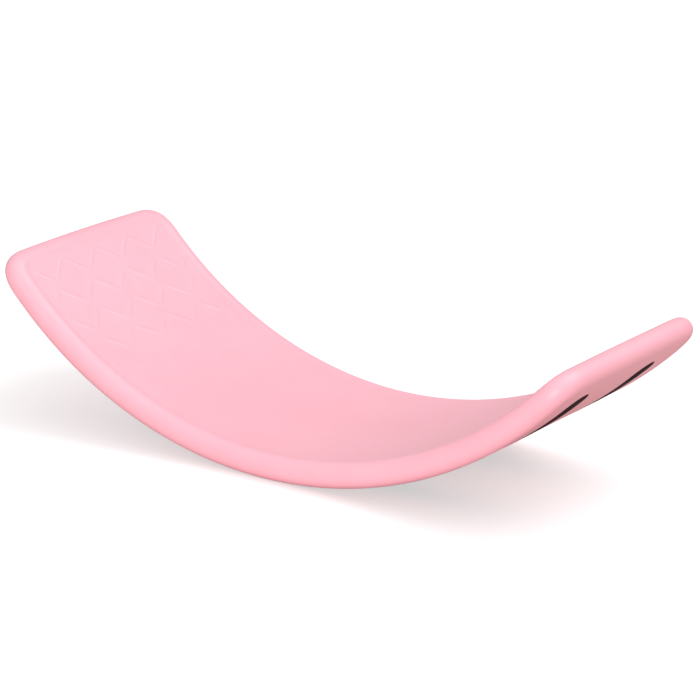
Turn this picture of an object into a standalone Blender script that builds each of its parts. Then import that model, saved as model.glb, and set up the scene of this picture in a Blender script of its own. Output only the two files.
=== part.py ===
"""Curved balance board: a hollow blow-moulded shell that rocks on two glued grip strips.

Every piece is modelled flat, in board coordinates: x along the board, y across it and z
through it, with 0 at mid-thickness. It is cut across at the bend stations and wrapped round
the rocker axis, so pieces that fit together flat still fit when bent. Between two stations
the bend is straight, so each facet stays flat and the board stands on the middle one.
Metres, +Z up, origin on the floor under the middle of the board.
"""

import math

import bmesh
import bpy
from mathutils import Matrix, Vector

# Board, before and after bending
BOARD_LENGTH = 0.843  # along the curve at mid-thickness, at the board's sides
BOARD_WIDTH = 0.305
THICKNESS = 0.0295  # in the middle of the board
END_THICKNESS = 0.027  # at its two ends
ROCKER_RADIUS = 0.480  # of the curve at mid-thickness
FACET_LENGTH = 0.027  # wanted length of one straight stretch of the bend

# Outline, rim and walls
CORNER_RADIUS = 0.0415
CORNER_POWER = 2.5  # 2 is a round corner, and more is squarer
END_BOW = 0.003  # how far the middle of each end bulges
RIM_ROUND = 0.0145  # width of the rim's rounded edge, seen from above
PARTING_LAND = 0.0012  # flat round the rim, where the halves of the mould meet
RIM_BAND = 0.022  # from the edge to the flat of the deck
DECK_RECESS = 0.0006
STEP_WIDTH = 0.007  # of the soft slope from the rim down to the deck
WALL = 0.0035

# Chevron tread of one-sided steps at each end of the deck
TREAD_ROWS = 4
TREAD_FIRST_TIP = 0.0543  # from the end of the board to the tips of the first row
TREAD_ROW_STEP = 0.03825
TREAD_DEPTH = 0.0245  # along the board, from a row's valleys to its tips
TREAD_PITCH = 0.0618  # across the board, from tip to tip
TREAD_TIP_OFFSET = 0.0230  # from the centre line to a tip of the first row
TREAD_STAGGER = 0.0236  # how far every other row is shifted across
TREAD_MARGIN = 0.008  # left clear beside the rim's slope
TREAD_HEIGHT = 0.0005
TREAD_DROP = 0.004  # width of the slope at the front of a row
TREAD_RAMP = 0.008  # width of the gentler slope behind it
TREAD_END_GAP = 0.0012  # left clear behind the first row

# Grip strips, and the adhesive film behind each
STRIP_WIDTH = 0.038
STRIP_END_GAP = 0.037  # from the end of the board to the tip of a strip
STRIP_OFFSET = 0.073  # from the centre line to the middle of a strip
STRIP_THICKNESS = 0.0024
STRIP_PROUD = 0.0004  # how far a strip stands out of the underside
FILM_THICKNESS = 0.0004
FILM_INSET = 0.001  # the film stops this far inside the strip's edge

# Plug in the hole through which the shell was blown
PLUG_END_DISTANCE = 0.095
PLUG_HEAD_RADIUS = 0.007
PLUG_HEAD_THICKNESS = 0.0016
PLUG_STEM_RADIUS = 0.0045
PLUG_LIP_HEIGHT = 0.0012
PLUG_LIP_OVERHANG = 0.0005  # how far the lip reaches past the edge of its hole

GAP = 0.0003  # between pieces that touch

CORNER_STEPS = 7
END_STEPS = 8
RIM_STEPS = 5
TURNED_STEPS = 24
EMBED = 0.0008  # how far an added shape is sunk into the one that it joins
CUT_PAST = 0.002  # how far a cutter runs out of the solid

half_length = BOARD_LENGTH / 2
half_width = BOARD_WIDTH / 2
deck_level = THICKNESS / 2 - DECK_RECESS
underside = -THICKNESS / 2
inner_floor = underside + WALL

facets = 2 * round((BOARD_LENGTH / FACET_LENGTH - 1) / 2) + 1
facet = BOARD_LENGTH / facets
stations = [(number - facets / 2) * facet for number in range(facets + 1)]
outer_radius = ROCKER_RADIUS + THICKNESS / 2 + STRIP_PROUD
axis_height = outer_radius * math.cos(facet / ROCKER_RADIUS / 2)

strip_face = underside - STRIP_PROUD
strip_back = strip_face + STRIP_THICKNESS
film_face = strip_back + GAP
film_back = film_face + FILM_THICKNESS
channel_floor = film_back + GAP
strip_half_length = half_length - STRIP_END_GAP

# The plug sits in the middle of the facet nearest to its wanted place
plug_x = facet * round((PLUG_END_DISTANCE - half_length) / facet)
plug_hole_radius = PLUG_STEM_RADIUS + GAP


def on_station(x, z):
    """The bent place of board coordinates x, z where x is a station."""
    taper = 1 - (1 - END_THICKNESS / THICKNESS) * (abs(x) / half_length) ** 4
    radius = ROCKER_RADIUS - z * taper
    angle = x / ROCKER_RADIUS
    return Vector((radius * math.sin(angle), 0, axis_height - radius * math.cos(angle)))


def bent(point):
    """The bent place of a point in board coordinates, straight between its two stations."""
    left = stations[0] + facet * math.floor((point.x - stations[0]) / facet)
    share = (point.x - left) / facet
    place = on_station(left, point.z).lerp(on_station(left + facet, point.z), share)
    return Vector((place.x, point.y, place.z))


def slice_at_stations(bm):
    """Cuts the mesh across at every station, so that it can bend there."""
    for x in stations:
        geometry = bm.verts[:] + bm.edges[:] + bm.faces[:]
        bmesh.ops.bisect_plane(bm, geom=geometry, dist=1e-7, plane_co=(x, 0, 0), plane_no=(1, 0, 0))


def flat_object(name, bm, sliced=True):
    """An object of the mesh, not yet bent."""
    if sliced:
        slice_at_stations(bm)
    bmesh.ops.recalc_face_normals(bm, faces=bm.faces[:])
    mesh = bpy.data.meshes.new(name)
    bm.to_mesh(mesh)
    bm.free()
    piece = bpy.data.objects.new(name, mesh)
    bpy.context.scene.collection.objects.link(piece)
    return piece


def combine(piece, *steps):
    """Joins or cuts the piece with each (operation, tool) in turn, and removes the tools."""
    for operation, tool in steps:
        modifier = piece.modifiers.new(tool.name, "BOOLEAN")
        modifier.operation = operation
        modifier.solver = "EXACT"
        modifier.object = tool
        tool.hide_render = True
        tool.display_type = "WIRE"
    bpy.context.view_layer.update()
    graph = bpy.context.evaluated_depsgraph_get()
    mesh = bpy.data.meshes.new_from_object(piece.evaluated_get(graph))
    piece.modifiers.clear()
    piece.data = mesh
    for _, tool in steps:
        bpy.data.objects.remove(tool, do_unlink=True)
    return piece


def rounded_outline(half_x, half_y, radius):
    """Points round the board's plan: soft corners and slightly bulging ends."""
    points = []
    for quarter in range(4):
        side_x = 1 if quarter in (0, 3) else -1
        side_y = 1 if quarter < 2 else -1
        for step in range(CORNER_STEPS + 1):
            angle = math.radians(90 * (quarter + step / CORNER_STEPS))
            reach_x = abs(math.cos(angle)) ** (2 / CORNER_POWER)
            reach_y = abs(math.sin(angle)) ** (2 / CORNER_POWER)
            points.append((side_x * (half_x - radius * (1 - reach_x)),
                           side_y * (half_y - radius * (1 - reach_y))))
        if quarter in (1, 3):
            straight = half_y - radius
            for step in range(1, END_STEPS):
                points.append((side_x * half_x, side_y * straight * (1 - 2 * step / END_STEPS)))
    bulged = []
    for x, y in points:
        share = (1 - (y / half_y) ** 2) * (abs(x) / half_x) ** 4
        bulged.append((x + math.copysign(END_BOW * share, x), y))
    return bulged


def strip_outline(half_x, half_y, centre_y):
    """Points round a straight strip with half-round ends."""
    points = []
    for side in (1, -1):
        for step in range(TURNED_STEPS // 2 + 1):
            angle = math.radians(90 - 180 * step / (TURNED_STEPS // 2))
            points.append((side * (half_x - half_y + half_y * math.cos(angle)),
                           centre_y + side * half_y * math.sin(angle)))
    return points


def prism(bm, outline, low, high):
    """Extrudes the outline from low to high, and returns its lower and upper faces."""
    bottom = bm.faces.new([bm.verts.new((x, y, low)) for x, y in outline])
    grown = bmesh.ops.extrude_face_region(bm, geom=[bottom], use_keep_orig=True)["geom"]
    corners = [item for item in grown if isinstance(item, bmesh.types.BMVert)]
    bmesh.ops.translate(bm, verts=corners, vec=(0, 0, high - low))
    top = next(item for item in grown if isinstance(item, bmesh.types.BMFace))
    bmesh.ops.recalc_face_normals(bm, faces=bm.faces[:])
    return bottom, top


def inset(bm, face, width, rise=0.0):
    bmesh.ops.inset_region(bm, faces=[face], thickness=width, depth=rise, use_even_offset=True)


def rounded_plate(bm, outline, low, high, rim):
    """A plate whose edge is rounded over the width rim. Returns its upper face."""
    middle = (low + high) / 2
    bottom, top = prism(bm, outline, middle - PARTING_LAND / 2, middle + PARTING_LAND / 2)
    height = (high - low - PARTING_LAND) / 2
    for step in range(RIM_STEPS):
        start = math.radians(90 * step / RIM_STEPS)
        end = math.radians(90 * (step + 1) / RIM_STEPS)
        width = rim * (math.cos(start) - math.cos(end))
        rise = height * (math.sin(end) - math.sin(start))
        inset(bm, top, width, rise)
        inset(bm, bottom, width, rise)
    return top


def cylinder(bm, x, radius, low, high):
    place = Matrix.Translation((x, 0, (low + high) / 2))
    bmesh.ops.create_cone(bm, cap_ends=True, segments=TURNED_STEPS, radius1=radius,
                          radius2=radius, depth=high - low, matrix=place)


def zigzag(row, end):
    """Points along one row of chevrons, from side to side, whose tips face the board's middle."""
    tip_x = half_length - TREAD_FIRST_TIP - row * TREAD_ROW_STEP
    tip_y = TREAD_TIP_OFFSET + TREAD_STAGGER * (row % 2)
    limit = half_width - RIM_BAND - TREAD_MARGIN
    reach = math.ceil(BOARD_WIDTH / TREAD_PITCH) + 1
    turns = [tip_y + number * TREAD_PITCH / 2 for number in range(-reach, reach + 1)]
    places = [-limit] + [y for y in turns if abs(y) < limit - TREAD_DROP] + [limit]
    points = []
    for y in places:
        turn = (y - tip_y) / TREAD_PITCH
        back = 2 * TREAD_DEPTH * abs(turn - round(turn))
        points.append((end * (tip_x + back), y))
    return points


def tread_steps():
    """Every chevron row at both ends, as a one-sided step that fades into the deck behind it."""
    bm = bmesh.new()
    slant = 1 / math.cos(math.atan2(TREAD_DEPTH, TREAD_PITCH / 2))
    drop = TREAD_DROP * slant
    room = TREAD_FIRST_TIP - TREAD_DEPTH - RIM_BAND - TREAD_END_GAP - drop / 2
    sunk = EMBED / 8
    share = sunk / TREAD_HEIGHT
    for end in (-1, 1):
        for row in range(TREAD_ROWS):
            ramp = min(TREAD_RAMP * slant, room + row * TREAD_ROW_STEP)
            profile = [(-drop * (0.5 + share), deck_level - sunk),
                       (drop / 2, deck_level + TREAD_HEIGHT),
                       (drop / 2 + ramp * (1 + share), deck_level - sunk)]
            places = zigzag(row, end)
            x, y = places[0]
            section = bm.faces.new([bm.verts.new((x + end * back, y, z)) for back, z in profile])
            first = True
            for (x, y), (next_x, next_y) in zip(places, places[1:]):
                grown = bmesh.ops.extrude_face_region(bm, geom=[section], use_keep_orig=first)["geom"]
                corners = [item for item in grown if isinstance(item, bmesh.types.BMVert)]
                bmesh.ops.translate(bm, verts=corners, vec=(next_x - x, next_y - y, 0))
                if not first:
                    bmesh.ops.delete(bm, geom=[section], context="FACES_ONLY")
                section = next(item for item in grown if isinstance(item, bmesh.types.BMFace))
                first = False
    bmesh.ops.recalc_face_normals(bm, faces=bm.faces[:])
    return flat_object("tread_steps", bm, sliced=False)


def strip_channels():
    bm = bmesh.new()
    for side in (-1, 1):
        outline = strip_outline(strip_half_length + GAP, STRIP_WIDTH / 2 + GAP, side * STRIP_OFFSET)
        prism(bm, outline, underside - CUT_PAST, channel_floor)
    return flat_object("strip_channels", bm)


def cavity():
    """The hollow inside the shell, which keeps its wall round the rim and over the channels."""
    bm = bmesh.new()
    outline = rounded_outline(half_length - WALL, half_width - WALL, CORNER_RADIUS - WALL)
    rounded_plate(bm, outline, inner_floor, deck_level - WALL, RIM_ROUND - WALL)
    hollow = flat_object("cavity", bm)
    bm = bmesh.new()
    for side in (-1, 1):
        outline = strip_outline(strip_half_length + GAP + WALL, STRIP_WIDTH / 2 + GAP + WALL,
                                side * STRIP_OFFSET)
        prism(bm, outline, inner_floor - CUT_PAST, channel_floor + WALL)
    return combine(hollow, ("DIFFERENCE", flat_object("channel_walls", bm)))


def plug_seat():
    bm = bmesh.new()
    cylinder(bm, plug_x, PLUG_HEAD_RADIUS + GAP, underside - CUT_PAST,
             underside + PLUG_HEAD_THICKNESS + GAP)
    head = flat_object("plug_head_seat", bm)
    bm = bmesh.new()
    cylinder(bm, plug_x, plug_hole_radius, underside, inner_floor + CUT_PAST)
    return combine(head, ("UNION", flat_object("plug_hole", bm)))


def board_shell():
    """The one-piece hollow board: rim, recessed deck with its tread, and grooved underside."""
    bm = bmesh.new()
    outline = rounded_outline(half_length, half_width, CORNER_RADIUS)
    top = rounded_plate(bm, outline, underside, THICKNESS / 2, RIM_ROUND)
    inset(bm, top, RIM_BAND - RIM_ROUND - STEP_WIDTH)
    inset(bm, top, STEP_WIDTH, -DECK_RECESS)
    shell = combine(flat_object("board_shell", bm), ("DIFFERENCE", strip_channels()),
                    ("DIFFERENCE", cavity()), ("DIFFERENCE", plug_seat()),
                    ("UNION", tread_steps()))
    bm = bmesh.new()
    bm.from_mesh(shell.data)
    slice_at_stations(bm)  # only the tread still crosses a station
    bm.to_mesh(shell.data)
    bm.free()
    return shell


def grip_strip(name, side):
    bm = bmesh.new()
    outline = strip_outline(strip_half_length, STRIP_WIDTH / 2, side * STRIP_OFFSET)
    prism(bm, outline, strip_face, strip_back)
    return flat_object(name, bm)


def adhesive_film(name, side):
    bm = bmesh.new()
    outline = strip_outline(strip_half_length - FILM_INSET, STRIP_WIDTH / 2 - FILM_INSET,
                            side * STRIP_OFFSET)
    prism(bm, outline, film_face, film_back)
    return flat_object(name, bm)


def blow_hole_plug():
    """A turned plug with a flush head, a stem and a snap lip inside the wall."""
    lip_low = inner_floor + GAP
    shoulder = underside + PLUG_HEAD_THICKNESS
    profile = [(0, underside), (PLUG_HEAD_RADIUS, underside), (PLUG_HEAD_RADIUS, shoulder),
               (PLUG_STEM_RADIUS, shoulder), (PLUG_STEM_RADIUS, lip_low),
               (plug_hole_radius + PLUG_LIP_OVERHANG, lip_low),
               (PLUG_STEM_RADIUS, lip_low + PLUG_LIP_HEIGHT), (0, lip_low + PLUG_LIP_HEIGHT)]
    bm = bmesh.new()
    line = [bm.verts.new((plug_x + radius, 0, z)) for radius, z in profile]
    edges = [bm.edges.new(pair) for pair in zip(line, line[1:])]
    bmesh.ops.spin(bm, geom=line + edges, cent=(plug_x, 0, 0), axis=(0, 0, 1),
                   angle=2 * math.pi, steps=TURNED_STEPS, use_merge=True)
    bmesh.ops.remove_doubles(bm, verts=bm.verts[:], dist=1e-6)
    return flat_object("blow_hole_plug", bm)


def material(name, colour, roughness):
    made = bpy.data.materials.new(name)
    made.use_nodes = True
    shader = made.node_tree.nodes["Principled BSDF"]
    shader.inputs["Base Color"].default_value = (*colour, 1)
    shader.inputs["Roughness"].default_value = roughness
    shader.inputs["Metallic"].default_value = 0
    return made


def finish(piece, group, made):
    """Bends the piece round the rocker axis, and gives it its material and its parent."""
    for vertex in piece.data.vertices:
        vertex.co = bent(vertex.co)
    piece.data.shade_smooth()
    piece.data.set_sharp_from_angle(angle=math.radians(30))
    piece.data.materials.clear()
    piece.data.materials.append(made)
    piece.parent = group


def main():
    for old in list(bpy.data.objects):
        bpy.data.objects.remove(old, do_unlink=True)
    group = bpy.data.objects.new("balance_board", None)
    bpy.context.scene.collection.objects.link(group)
    shell_plastic = material("pink_polyethylene", (0.93, 0.52, 0.61), 0.42)
    plug_plastic = material("plug_polyethylene", (0.88, 0.47, 0.56), 0.45)
    strip_foam = material("dark_grip_foam", (0.022, 0.012, 0.013), 0.85)
    film = material("adhesive_film", (0.75, 0.74, 0.70), 0.5)
    finish(board_shell(), group, shell_plastic)
    for name, side in (("front", -1), ("rear", 1)):
        finish(grip_strip(f"grip_strip_{name}", side), group, strip_foam)
        finish(adhesive_film(f"adhesive_film_{name}", side), group, film)
    finish(blow_hole_plug(), group, plug_plastic)


main()
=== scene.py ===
"""The looks of a curved balance board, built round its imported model.

The sections follow the board as it is put together: shell, adhesive films, grip strips, plug,
and then the studio. Each new piece is modelled flat, in board coordinates: x along the board,
y across it and z through it, with 0 at mid-thickness. It is then wrapped round the rocker
axis. Metres, +Z up, with the floor at z = 0.
"""

import math

import bmesh
import bpy
from mathutils import Matrix, Vector


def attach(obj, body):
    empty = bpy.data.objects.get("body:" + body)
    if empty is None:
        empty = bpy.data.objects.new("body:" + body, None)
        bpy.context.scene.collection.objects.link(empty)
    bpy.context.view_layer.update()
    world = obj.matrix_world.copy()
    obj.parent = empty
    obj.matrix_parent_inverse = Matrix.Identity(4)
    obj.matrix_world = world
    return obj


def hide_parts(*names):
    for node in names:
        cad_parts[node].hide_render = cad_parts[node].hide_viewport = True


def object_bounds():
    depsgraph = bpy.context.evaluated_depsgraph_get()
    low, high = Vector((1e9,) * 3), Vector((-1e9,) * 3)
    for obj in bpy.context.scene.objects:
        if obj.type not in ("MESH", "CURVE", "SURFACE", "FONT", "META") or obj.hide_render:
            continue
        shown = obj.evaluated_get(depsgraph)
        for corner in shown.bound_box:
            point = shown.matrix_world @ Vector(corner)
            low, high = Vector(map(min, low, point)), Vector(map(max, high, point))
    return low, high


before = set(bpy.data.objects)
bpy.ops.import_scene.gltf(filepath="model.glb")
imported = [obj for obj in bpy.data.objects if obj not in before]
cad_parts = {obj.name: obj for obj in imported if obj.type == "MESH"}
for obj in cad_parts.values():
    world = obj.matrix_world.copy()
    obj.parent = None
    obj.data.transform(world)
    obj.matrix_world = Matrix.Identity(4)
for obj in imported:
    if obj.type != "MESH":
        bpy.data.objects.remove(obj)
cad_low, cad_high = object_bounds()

# --- Board shell -------------------------------------------------------------------------
# One hollow, blow-moulded piece of satin polyethylene. Its rounded rim carries the parting line
# of the mould and slopes gently down to the deck. Both ends of the deck have a chevron tread of
# low one-sided steps. The underside has a shallow channel for each grip strip.
BOARD_LENGTH = 0.843  # along the curve at mid-thickness
BOARD_WIDTH = cad_high.y - cad_low.y
THICKNESS = 0.0295
END_THICKNESS = 0.027
ROCKER_RADIUS = 0.480
CORNER_RADIUS = 0.0415
CORNER_POWER = 2.5  # 2 is a round corner, and more is squarer
END_BOW = 0.0026  # a little less than the frame's, whose straight facets end sooner than the arc
RIM_ROUND = 0.0145
RIM_BAND = 0.022  # from the edge to the flat of the deck
DECK_RECESS = 0.0006
STEP_WIDTH = 0.007
WALL = 0.0035
PARTING_BAND = 0.0014  # flat round the rim that carries the parting line

TREAD_ROWS = 4
TREAD_FIRST_TIP = 0.0543
TREAD_ROW_STEP = 0.03825
TREAD_DEPTH = 0.0245
TREAD_PITCH = 0.0618
TREAD_TIP_OFFSET = 0.0230
TREAD_STAGGER = 0.0236
TREAD_MARGIN = 0.008
TREAD_HEIGHT = 0.0005
TREAD_CORNER_HEIGHT = 0.45  # of that, at the corners of the chevrons
TREAD_DROP = 0.004  # width of the slope down to the next row
TREAD_RAMP = 0.008  # width of the gentler slope behind it
TREAD_SOFTNESS = 0.35  # how round the corners of the chevrons are: 0 is sharp, and 1 a wave
LIP_WIDTH = 0.0004  # chamfer round a channel or the plug's seat

STRIP_WIDTH = 0.038
STRIP_END_GAP = 0.037
STRIP_OFFSET = 0.073
STRIP_THICKNESS = 0.0024
STRIP_PROUD = 0.0004
FILM_THICKNESS = 0.0004
GAP = 0.0003
PLUG_END_DISTANCE = 0.095
PLUG_HEAD_RADIUS = 0.007
PLUG_HEAD_THICKNESS = 0.0016
PLUG_STEM_RADIUS = 0.0045

SLICE = 0.0065  # length of one straight stretch of the bend
CORNER_STEPS = 18
END_STEPS = 12
RIM_STEPS = 10
SOFT_STEPS = 6  # lines across a soft step
ARM_STEPS = 7  # straight stretches in one arm of a chevron
COLLAR = 0.0004  # flat ring round a raised or sunken shape, which keeps its shading to itself
ROUND_STEPS = 32
SAME_POINT = 1e-6  # points nearer than this are one

half_length = BOARD_LENGTH / 2
half_width = BOARD_WIDTH / 2
deck_level = THICKNESS / 2 - DECK_RECESS
underside = -THICKNESS / 2
inner_floor = underside + WALL
channel_floor = underside - STRIP_PROUD + STRIP_THICKNESS + FILM_THICKNESS + 2 * GAP
strip_half_length = half_length - STRIP_END_GAP

# The frame is bent in straight facets, whose middles lie a little inside the true arc.
FACET_LENGTH = 0.027
facets = 2 * round((BOARD_LENGTH / FACET_LENGTH - 1) / 2) + 1
facet = BOARD_LENGTH / facets
outer_radius = ROCKER_RADIUS - underside + STRIP_PROUD
axis_height = outer_radius * math.cos(facet / ROCKER_RADIUS / 2)
facet_sag = outer_radius - axis_height
plug_x = facet * round((PLUG_END_DISTANCE - half_length) / facet)


def bend(bm):
    """Cuts the flat mesh across along its length, and wraps it round the rocker axis."""
    slices = round(BOARD_LENGTH / SLICE)
    for number in range(1, slices):
        x = (number / slices - 0.5) * BOARD_LENGTH
        geometry = bm.verts[:] + bm.edges[:] + bm.faces[:]
        bmesh.ops.bisect_plane(bm, geom=geometry, dist=SAME_POINT, plane_co=(x, 0, 0),
                               plane_no=(1, 0, 0))
    for vertex in bm.verts:
        x, y, z = vertex.co
        taper = 1 - (1 - END_THICKNESS / THICKNESS) * (abs(x) / half_length) ** 4
        radius = ROCKER_RADIUS - z * taper
        angle = x / ROCKER_RADIUS
        vertex.co = (radius * math.sin(angle), y, axis_height - radius * math.cos(angle))


def bent_piece(name, bm, finish, sharp_angle=50):
    """The object of a flat mesh once it is bent, riding on the board."""
    bmesh.ops.recalc_face_normals(bm, faces=bm.faces[:])
    bend(bm)
    mesh = bpy.data.meshes.new(name)
    bm.to_mesh(mesh)
    bm.free()
    mesh.shade_smooth()
    mesh.set_sharp_from_angle(angle=math.radians(sharp_angle))
    mesh.materials.append(finish)
    piece = bpy.data.objects.new(name, mesh)
    bpy.context.scene.collection.objects.link(piece)
    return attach(piece, "root")


def board_outline(half_x, half_y, radius):
    """Points round the board's plan: soft corners and slightly bulging ends."""
    points = []
    for quarter in range(4):
        side_x = 1 if quarter in (0, 3) else -1
        side_y = 1 if quarter < 2 else -1
        for step in range(CORNER_STEPS + 1):
            angle = math.radians(90 * (quarter + step / CORNER_STEPS))
            reach_x = abs(math.cos(angle)) ** (2 / CORNER_POWER)
            reach_y = abs(math.sin(angle)) ** (2 / CORNER_POWER)
            points.append((side_x * (half_x - radius * (1 - reach_x)),
                           side_y * (half_y - radius * (1 - reach_y))))
        if quarter in (1, 3):
            straight = half_y - radius
            for step in range(1, END_STEPS):
                points.append((side_x * half_x, side_y * straight * (1 - 2 * step / END_STEPS)))
    bulged = []
    for x, y in points:
        share = (1 - (y / half_y) ** 2) * (abs(x) / half_x) ** 4
        bulged.append((x + math.copysign(END_BOW * share, x), y))
    return bulged


def strip_outline(half_x, half_y, centre_y):
    """Points round a straight strip with half-round ends."""
    points = []
    for side in (1, -1):
        for step in range(ROUND_STEPS // 2 + 1):
            angle = math.radians(90 - 180 * step / (ROUND_STEPS // 2))
            points.append((side * (half_x - half_y + half_y * math.cos(angle)),
                           centre_y + side * half_y * math.sin(angle)))
    return points


def circle_outline(x, radius):
    turn = 2 * math.pi / ROUND_STEPS
    return [(x + radius * math.cos(turn * step), radius * math.sin(turn * step))
            for step in range(ROUND_STEPS)]


def moved(bm, grown, rise):
    """Lifts what an extrusion has made, and returns its faces."""
    corners = [item for item in grown if isinstance(item, bmesh.types.BMVert)]
    bmesh.ops.translate(bm, verts=corners, vec=(0, 0, rise))
    return [item for item in grown if isinstance(item, bmesh.types.BMFace)]


def flat_face(bm, outline, z):
    return bm.faces.new([bm.verts.new((x, y, z)) for x, y in outline])


def prism(bm, outline, low, high):
    """Extrudes the outline from low to high, and returns its lower and upper faces."""
    bottom = flat_face(bm, outline, low)
    grown = bmesh.ops.extrude_face_region(bm, geom=[bottom], use_keep_orig=True)["geom"]
    top = moved(bm, grown, high - low)[0]
    bmesh.ops.recalc_face_normals(bm, faces=bm.faces[:])
    return bottom, top


def inset(bm, faces, width, rise=0.0):
    bmesh.ops.inset_region(bm, faces=faces, thickness=width, depth=rise, use_even_offset=True)


def soft_heights(rise):
    """Heights across a soft step, whose slope starts and ends level."""
    shares = [step / SOFT_STEPS for step in range(SOFT_STEPS + 1)]
    return [rise * share * share * (3 - 2 * share) for share in shares]


def soft_step(bm, faces, width, rise):
    """Raises the faces in an S-shaped slope as wide as width, or sinks them where rise is below 0."""
    inset(bm, faces, COLLAR)
    heights = soft_heights(rise)
    for before, after in zip(heights, heights[1:]):
        inset(bm, faces, width / SOFT_STEPS, after - before)


def rounded_plate(bm, outline, low, high, rim, band):
    """A plate whose edge is rounded over the width rim. Returns its lower and upper faces."""
    middle = (low + high) / 2
    bottom, top = prism(bm, outline, middle - band / 2, middle + band / 2)
    height = (high - low - band) / 2
    for step in range(RIM_STEPS):
        start = math.radians(90 * step / RIM_STEPS)
        end = math.radians(90 * (step + 1) / RIM_STEPS)
        width = rim * (math.cos(start) - math.cos(end))
        rise = height * (math.sin(end) - math.sin(start))
        inset(bm, [top], width, rise)
        inset(bm, [bottom], width, rise)
    return bottom, top


def drawn_into(bm, face, islands):
    """Opens a flat face and fills it again round the islands, whose faces are there already."""
    border = face.edges[:]
    bm.faces.remove(face)
    for island in islands:
        border += [edge for edge in {edge for part in island for edge in part.edges}
                   if len(edge.link_faces) == 1]
    bmesh.ops.triangle_fill(bm, use_beauty=True, use_dissolve=False, edges=border)


def chevron_row(bm, row, end):
    """A flat ribbon along one row of chevrons, from side to side, with its tips to the middle.

    Returns the ribbon's faces, and each vertex with the height that it is to be raised to.
    """
    tip_x = half_length - TREAD_FIRST_TIP - row * TREAD_ROW_STEP
    tip_y = TREAD_TIP_OFFSET + TREAD_STAGGER * (row % 2)
    limit = half_width - RIM_BAND - TREAD_MARGIN
    slant = 1 / math.cos(math.atan2(TREAD_DEPTH, TREAD_PITCH / 2))
    stretch = TREAD_PITCH / 2 / ARM_STEPS
    reach = math.ceil(limit / stretch) + 2 * ARM_STEPS
    places = [tip_y + number * stretch for number in range(-reach, reach + 1)]
    places = [-limit] + [y for y in places if abs(y) < limit - stretch / 2] + [limit]

    room = TREAD_FIRST_TIP - TREAD_DEPTH - RIM_BAND - TREAD_DROP * slant / 2 - 3 * COLLAR
    ramp = min(TREAD_RAMP * slant, room + row * TREAD_ROW_STEP)
    climb = soft_heights(TREAD_HEIGHT)
    profile = [(-COLLAR - TREAD_DROP * slant / 2, 0)]
    profile += [((step / SOFT_STEPS - 0.5) * TREAD_DROP * slant, climb[step])
                for step in range(SOFT_STEPS + 1)]
    profile += [(TREAD_DROP * slant / 2 + ramp * step / SOFT_STEPS, climb[SOFT_STEPS - step])
                for step in range(1, SOFT_STEPS + 1)]
    profile.append((profile[-1][0] + COLLAR, 0))

    line = []
    shares = {}
    for y in places:
        turn = (y - tip_y) / TREAD_PITCH
        back = 2 * abs(turn - round(turn))
        share = TREAD_CORNER_HEIGHT + (1 - TREAD_CORNER_HEIGHT) * 4 * back * (1 - back)
        back += TREAD_SOFTNESS * ((1 - math.cos(math.pi * back)) / 2 - back)
        corner = bm.verts.new((end * (tip_x + TREAD_DEPTH * back + profile[0][0]), y, deck_level))
        line.append(corner)
        shares[corner.co.y] = share if abs(y) < limit else 0
    edges = [bm.edges.new(pair) for pair in zip(line, line[1:])]
    faces = []
    raised = []
    for (before, _), (after, height) in zip(profile, profile[1:]):
        swept = bmesh.ops.extrude_edge_only(bm, edges=edges)["geom"]
        line = [item for item in swept if isinstance(item, bmesh.types.BMVert)]
        bmesh.ops.translate(bm, verts=line, vec=(end * (after - before), 0, 0))
        edges = [item for item in swept if isinstance(item, bmesh.types.BMEdge)
                 and item.verts[0] in line and item.verts[1] in line]
        faces += [item for item in swept if isinstance(item, bmesh.types.BMFace)]
        raised += [(vertex, height * shares[vertex.co.y]) for vertex in line]
    return faces, raised


def tunnel(bm, x, outer, inner):
    """Joins two round faces of the shell's outside and its cavity by a hole through the wall."""
    edges = outer.edges[:] + inner.edges[:]
    bmesh.ops.delete(bm, geom=[outer, inner], context="FACES_ONLY")
    bmesh.ops.bridge_loops(bm, edges=edges)


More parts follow.
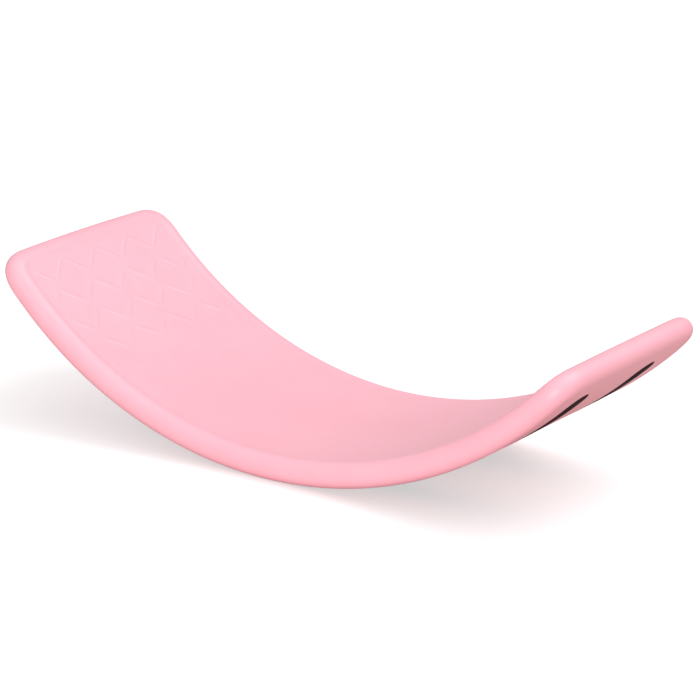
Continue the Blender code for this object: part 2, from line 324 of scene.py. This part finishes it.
def shell_mesh():
    bm = bmesh.new()
    outline = board_outline(half_length, half_width, CORNER_RADIUS)
    bottom, top = rounded_plate(bm, outline, underside, THICKNESS / 2, RIM_ROUND, PARTING_BAND)
    soft_step(bm, [top], STEP_WIDTH, -DECK_RECESS)
    rows = [chevron_row(bm, row, end) for end in (-1, 1) for row in range(TREAD_ROWS)]
    drawn_into(bm, top, [faces for faces, _ in rows])

    lip = COLLAR + LIP_WIDTH
    channels = [flat_face(bm, strip_outline(strip_half_length + GAP + lip,
                                            STRIP_WIDTH / 2 + GAP + lip,
                                            side * STRIP_OFFSET), underside) for side in (-1, 1)]
    seat = flat_face(bm, circle_outline(plug_x, PLUG_HEAD_RADIUS + GAP + lip), underside)
    drawn_into(bm, bottom, [[channels[0]], [channels[1]], [seat]])
    bmesh.ops.recalc_face_normals(bm, faces=bm.faces[:])
    for _, raised in rows:
        for vertex, height in raised:
            vertex.co.z += height
    for channel in channels:
        inset(bm, [channel], COLLAR)
        inset(bm, [channel], LIP_WIDTH, -LIP_WIDTH)
        inset(bm, [channel], 0.0, LIP_WIDTH + underside - channel_floor)
    inset(bm, [seat], COLLAR)
    inset(bm, [seat], LIP_WIDTH, -LIP_WIDTH)
    inset(bm, [seat], 0.0, LIP_WIDTH - PLUG_HEAD_THICKNESS - GAP)
    inset(bm, [seat], PLUG_HEAD_RADIUS - PLUG_STEM_RADIUS)

    outline = board_outline(half_length - WALL, half_width - WALL, CORNER_RADIUS - WALL)
    cavity_bottom, _ = rounded_plate(bm, outline, inner_floor, deck_level - WALL,
                                     RIM_ROUND - WALL, PARTING_BAND)
    humps = [flat_face(bm, strip_outline(strip_half_length + GAP + WALL,
                                         STRIP_WIDTH / 2 + GAP + WALL,
                                         side * STRIP_OFFSET), inner_floor) for side in (-1, 1)]
    hole = flat_face(bm, circle_outline(plug_x, PLUG_STEM_RADIUS + GAP), inner_floor)
    drawn_into(bm, cavity_bottom, [[humps[0]], [humps[1]], [hole]])
    bmesh.ops.recalc_face_normals(bm, faces=bm.faces[:])
    for hump in humps:
        inset(bm, [hump], 0.0, inner_floor - channel_floor - WALL)
    tunnel(bm, plug_x, seat, hole)
    return bm


class Signal:
    """A shader socket in a Python sum: each operator adds its Math node to the finish."""

    def __init__(self, finish, socket):
        self.finish = finish
        self.socket = socket

    def math(self, operation, *values, **settings):
        settings["operation"] = operation
        return self.finish.node("ShaderNodeMath", settings, dict(enumerate(values)))

    def __add__(self, other):
        return self.math("ADD", self, other)

    def __sub__(self, other):
        return self.math("SUBTRACT", self, other)

    def __rsub__(self, other):
        return self.math("SUBTRACT", other, self)

    def __mul__(self, other):
        return self.math("MULTIPLY", self, other)

    def __pow__(self, other):
        return self.math("POWER", self, other)

    def __abs__(self):
        return self.math("ABSOLUTE", self)

    __radd__ = __add__
    __rmul__ = __mul__

    def ramp(self, low, high):
        """0 where the signal is at low, 1 where it is at high, and a smooth curve between."""
        inputs = {"Value": self, "From Min": low, "From Max": high}
        return self.finish.node("ShaderNodeMapRange", {"interpolation_type": "SMOOTHSTEP"}, inputs)


class Finish:
    """A material being made. node() adds any shader node, and feed() fills a node's sockets."""

    def __init__(self, name):
        self.material = bpy.data.materials.new(name)
        self.material.use_nodes = True
        self.tree = self.material.node_tree
        self.shader = self.tree.nodes["Principled BSDF"]

    def node(self, kind, settings, inputs, output=0):
        made = self.tree.nodes.new(kind)
        for name, value in settings.items():
            setattr(made, name, value)
        self.feed(made, inputs)
        return Signal(self, made.outputs[output])

    def feed(self, node, inputs):
        for name, value in inputs.items():
            if isinstance(value, Signal):
                self.tree.links.new(value.socket, node.inputs[name])
            else:
                node.inputs[name].default_value = value

    def place(self):
        """Where a point is on the object, in metres."""
        return self.node("ShaderNodeTexCoord", {}, {}, "Object")

    def board_place(self):
        """Where a point is in board coordinates: along, across and through the board."""
        split = [self.node("ShaderNodeSeparateXYZ", {}, {"Vector": self.place()}, axis)
                 for axis in "XYZ"]
        across = split[1]
        rise = axis_height - split[2]
        along = split[0].math("ARCTAN2", split[0], rise) * ROCKER_RADIUS
        radius = (split[0] * split[0] + rise * rise) ** 0.5
        return along, across, ROCKER_RADIUS - radius

    def noise(self, size, detail=2.0, stretch=(1, 1, 1), roughness=0.5):
        """Cloudy noise from 0 to 1 whose blotches measure about size, drawn out by stretch."""
        scale = [1 / (size * share) for share in stretch]
        vector = self.node("ShaderNodeMapping", {}, {"Vector": self.place(), "Scale": scale})
        inputs = {"Vector": vector, "Scale": 1.0, "Detail": detail, "Roughness": roughness}
        return self.node("ShaderNodeTexNoise", {}, inputs)

    def mix(self, first, second, share):
        """The first colour where share is 0, and the second where it is 1."""
        inputs = {0: share, 6: first, 7: second}
        return self.node("ShaderNodeMix", {"data_type": "RGBA"}, inputs, 2)

    def bump(self, height, depth, under=None):
        """The surface normal of a relief as deep as depth, in metres."""
        inputs = {"Height": height, "Distance": depth, "Strength": 1.0}
        if under:
            inputs["Normal"] = under
        return self.node("ShaderNodeBump", {}, inputs)


def colour(red, green, blue):
    return (red, green, blue, 1)


PINK = colour(0.950, 0.448, 0.530)
PINK_PALE = colour(0.965, 0.483, 0.563)
PINK_STRESSED = colour(0.97, 0.62, 0.68)
SATIN = 0.40  # roughness of the untouched skin
CLOUD_SIZE = 0.12
MOTTLE_SIZE = 0.018
SCUFF_SIZE = 0.004
GRAIN_SIZE = 0.0011
GRAIN_DEPTH = 0.00006
PEEL_SIZE = 0.022
PEEL_DEPTH = 0.00018
WORN_BAND = 0.010  # how far in from the edge the rim is rubbed
WORN_DEPTH = 0.004  # how far up from the underside it is rubbed


def pink_plastic():
    """Satin polyethylene from a sand-blasted mould, cloudy in tone and rubbed where it is used."""
    skin = Finish("satin_pink_polyethylene")
    along, across, through = skin.board_place()
    cloud = skin.noise(CLOUD_SIZE, detail=3).ramp(0.35, 0.65)
    mottle = skin.noise(MOTTLE_SIZE, detail=4).ramp(0.3, 0.7)
    tone = skin.mix(PINK, PINK_PALE, cloud * 0.5 + mottle * 0.25)

    edge = abs(across).ramp(half_width - WORN_BAND, half_width - 0.001)
    end = abs(along).ramp(half_length - WORN_BAND, half_length - 0.001)
    rim = edge.math("MAXIMUM", edge, end)
    parting = rim * (1 - abs(through).ramp(0.0002, PARTING_BAND / 2))
    tone = skin.mix(tone, PINK_STRESSED, parting * 0.06)
    scuffs = skin.noise(SCUFF_SIZE, detail=6, stretch=(14, 1, 1), roughness=0.7).ramp(0.60, 0.74)
    worn = scuffs * rim.math("MAXIMUM", rim, 1 - through.ramp(underside, underside + WORN_DEPTH))
    tone = skin.mix(tone, PINK_STRESSED, worn * 0.22)

    tops = through.ramp(deck_level + TREAD_HEIGHT * 0.4, deck_level + TREAD_HEIGHT)
    deck_edge = half_width - RIM_BAND
    tops = tops * (1 - abs(across).ramp(deck_edge - 0.004, deck_edge - 0.002))
    rough = SATIN + 0.07 * mottle - 0.05 * tops + 0.10 * worn + 0.05 * parting
    grain = skin.bump(skin.noise(GRAIN_SIZE, detail=2), GRAIN_DEPTH)
    peel = skin.bump(skin.noise(PEEL_SIZE, detail=1), PEEL_DEPTH, grain)
    skin.feed(skin.shader, {"Base Color": tone, "Roughness": rough, "Normal": peel})
    return skin.material


shell_finish = pink_plastic()
shell = bent_piece("shell_body", shell_mesh(), shell_finish)
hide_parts("board_shell")

# --- Adhesive films ----------------------------------------------------------------------
# A thin double-sided film behind each grip strip, laid on the floor of its channel. It stops
# short of the strip's edge, so none of it shows.
FILM_PALE = colour(0.75, 0.74, 0.70)
FILM_DARK = colour(0.62, 0.60, 0.55)
BLISTER_SIZE = 0.006
BLISTER_DEPTH = 0.00005

film = Finish("adhesive_film")
blisters = film.noise(BLISTER_SIZE, detail=3).ramp(0.35, 0.7)
film.feed(film.shader, {"Base Color": film.mix(FILM_PALE, FILM_DARK, blisters),
                        "Roughness": 0.35 + 0.3 * blisters,
                        "Normal": film.bump(blisters, BLISTER_DEPTH)})
for side_name in ("front", "rear"):
    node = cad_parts[f"adhesive_film_{side_name}"]
    node.data.materials.clear()
    node.data.materials.append(film.material)

# --- Grip strips -------------------------------------------------------------------------
# Two long dark strips of soft rubber with round ends, glued into the channels of the underside.
# They stand a hair proud, so the board rocks on them and not on bare plastic.
STRIP_EDGE = 0.0005  # rounding of a strip's outer edge
RUBBER = colour(0.011, 0.0022, 0.0026)
RUBBER_DUSTY = colour(0.022, 0.009, 0.010)
RUBBER_CELLS = 900.0  # cells of its skin to a metre
RUBBER_CELL_DEPTH = 0.00012
DUST_SIZE = 0.03

strip_face = underside - STRIP_PROUD + facet_sag


def strip_mesh(side):
    bm = bmesh.new()
    outline = strip_outline(strip_half_length, STRIP_WIDTH / 2, side * STRIP_OFFSET)
    bottom, _ = prism(bm, outline, strip_face, underside - STRIP_PROUD + STRIP_THICKNESS)
    bmesh.ops.bevel(bm, geom=bottom.edges[:], offset=STRIP_EDGE, offset_type="OFFSET",
                    affect="EDGES", segments=3, profile=0.5, material=-1)
    return bm


rubber = Finish("dark_rubber")
cells = rubber.node("ShaderNodeTexVoronoi", {}, {"Vector": rubber.place(),
                                                   "Scale": RUBBER_CELLS})
dust = rubber.noise(DUST_SIZE, detail=5, stretch=(3, 1, 1)).ramp(0.45, 0.75)
rubber.feed(rubber.shader, {"Base Color": rubber.mix(RUBBER, RUBBER_DUSTY, dust * 0.6),
                            "Roughness": 0.78 + 0.12 * dust, "Specular IOR Level": 0.12,
                            "Normal": rubber.bump(cells, RUBBER_CELL_DEPTH)})
for side_name, side in (("front", -1), ("rear", 1)):
    strip = bent_piece(f"grip_strip_{side_name}_rubber", strip_mesh(side), rubber.material)
    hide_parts(f"grip_strip_{side_name}")

# --- Blow-hole plug ----------------------------------------------------------------------
# A turned plug of the same plastic closes the hole through which the shell was blown. Its
# head lies flush in a round seat, and a lip on its stem snaps in behind the wall.
PLUG_EDGE = 0.0004
PLUG_DISH = 0.0004  # depth of the shallow dish in the head
PLUG_LIP_HEIGHT = 0.0012
PLUG_LIP_OVERHANG = 0.0005


def plug_mesh():
    lip_low = inner_floor + GAP
    lip_radius = PLUG_STEM_RADIUS + GAP + PLUG_LIP_OVERHANG
    shoulder = underside + PLUG_HEAD_THICKNESS
    profile = [(0, underside + PLUG_DISH), (PLUG_HEAD_RADIUS * 0.6, underside + PLUG_DISH * 0.5),
               (PLUG_HEAD_RADIUS * 0.75, underside), (PLUG_HEAD_RADIUS - PLUG_EDGE, underside),
               (PLUG_HEAD_RADIUS, underside + PLUG_EDGE), (PLUG_HEAD_RADIUS, shoulder),
               (PLUG_STEM_RADIUS, shoulder), (PLUG_STEM_RADIUS, lip_low), (lip_radius, lip_low),
               (PLUG_STEM_RADIUS, lip_low + PLUG_LIP_HEIGHT), (0, lip_low + PLUG_LIP_HEIGHT)]
    bm = bmesh.new()
    line = [bm.verts.new((plug_x + radius, 0, z)) for radius, z in profile]
    edges = [bm.edges.new(pair) for pair in zip(line, line[1:])]
    bmesh.ops.spin(bm, geom=line + edges, cent=(plug_x, 0, 0), axis=(0, 0, 1),
                   angle=2 * math.pi, steps=2 * ROUND_STEPS, use_merge=True)
    bmesh.ops.remove_doubles(bm, verts=bm.verts[:], dist=SAME_POINT)
    return bm


plug = bent_piece("blow_hole_plug_turned", plug_mesh(), shell_finish, sharp_angle=30)
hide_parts("blow_hole_plug")

# --- Studio ------------------------------------------------------------------------------
# A plain pale paper floor and an even white sky, with three large square lamps for soft light.
# The paper glows a little to the lens, and is dimmer and warmer in the light that it throws
# back. The camera stands well away with a long lens.
FLOOR_HALF = 12.0
FLOOR_PALE = colour(0.72, 0.72, 0.72)
FLOOR_TONE = colour(0.68, 0.68, 0.68)
FLOOR_BOUNCE = colour(0.64, 0.51, 0.49)  # what the board sees of it, so its underside stays dim
FLOOR_GLOW = 0.48
CLOUDS_IN_PAPER = 0.8
SKY_STRENGTH = 0.58
LAMP_AIM = Vector((0, 0, 0.1))
LAMP_DISTANCE = 4.5

bm = bmesh.new()
bmesh.ops.create_grid(bm, x_segments=1, y_segments=1, size=FLOOR_HALF)
floor_mesh = bpy.data.meshes.new("floor")
bm.to_mesh(floor_mesh)
bm.free()
floor = bpy.data.objects.new("floor", floor_mesh)
bpy.context.scene.collection.objects.link(floor)
paper = Finish("pale_paper")
paper_tone = paper.mix(FLOOR_PALE, FLOOR_TONE, paper.noise(CLOUDS_IN_PAPER))
seen = paper.node("ShaderNodeLightPath", {}, {}, "Is Camera Ray")
paper.feed(paper.shader, {"Base Color": paper.mix(FLOOR_BOUNCE, paper_tone, seen),
                          "Roughness": 0.9, "Specular IOR Level": 0.0,
                          "Emission Color": paper.mix(colour(0, 0, 0), colour(1, 1, 1), seen),
                          "Emission Strength": FLOOR_GLOW})
floor_mesh.materials.append(paper.material)


def softbox(name, azimuth, elevation, size, power):
    """A large square lamp, LAMP_DISTANCE from the board and aimed at its middle."""
    turned, raised = math.radians(azimuth), math.radians(elevation)
    away = Vector((math.sin(turned) * math.cos(raised), -math.cos(turned) * math.cos(raised),
                   math.sin(raised)))
    lamp = bpy.data.lights.new(name, "AREA")
    lamp.shape = "SQUARE"
    lamp.size = size
    lamp.energy = power
    made = bpy.data.objects.new(name, lamp)
    made.location = LAMP_AIM + LAMP_DISTANCE * away
    made.rotation_euler = away.to_track_quat("Z", "Y").to_euler()
    bpy.context.scene.collection.objects.link(made)


softbox("front_box", azimuth=20, elevation=8, size=1.2, power=112)
softbox("back_box", azimuth=130, elevation=55, size=3.0, power=92)
softbox("top_box", azimuth=0, elevation=90, size=3.0, power=21)

world = bpy.data.worlds.new("studio")
world.use_nodes = True
bpy.context.scene.world = world
sky = world.node_tree.nodes["Background"]
sky.inputs["Color"].default_value = colour(1, 1, 1)
sky.inputs["Strength"].default_value = SKY_STRENGTH

CAMERA_AZIMUTH = math.radians(32.7951)
CAMERA_ELEVATION = math.radians(17.5092)
CAMERA_ROLL = math.radians(1.661)
CAMERA_DISTANCE = 3.7924
CAMERA_TARGET = Vector((0, 0, 0.09178))
LENS_LENGTH = 173.15  # in millimetres
LENS_SHIFT_X = 0.01437
LENS_SHIFT_Y = 0.02789

lens = bpy.data.cameras.new("camera")
lens.lens = LENS_LENGTH
lens.shift_x = LENS_SHIFT_X
lens.shift_y = LENS_SHIFT_Y
camera = bpy.data.objects.new("camera", lens)
bpy.context.scene.collection.objects.link(camera)
back = Vector((math.sin(CAMERA_AZIMUTH) * math.cos(CAMERA_ELEVATION),
               -math.cos(CAMERA_AZIMUTH) * math.cos(CAMERA_ELEVATION),
               math.sin(CAMERA_ELEVATION)))
right = Vector((math.cos(CAMERA_AZIMUTH), math.sin(CAMERA_AZIMUTH), 0))
up = back.cross(right)
rolled_right = math.cos(CAMERA_ROLL) * right + math.sin(CAMERA_ROLL) * up
turn = Matrix((rolled_right, back.cross(rolled_right), back)).transposed().to_4x4()
camera.matrix_world = Matrix.Translation(CAMERA_TARGET + back * CAMERA_DISTANCE) @ turn
bpy.context.scene.camera = camera
bpy.context.scene.view_settings.view_transform = "Standard"
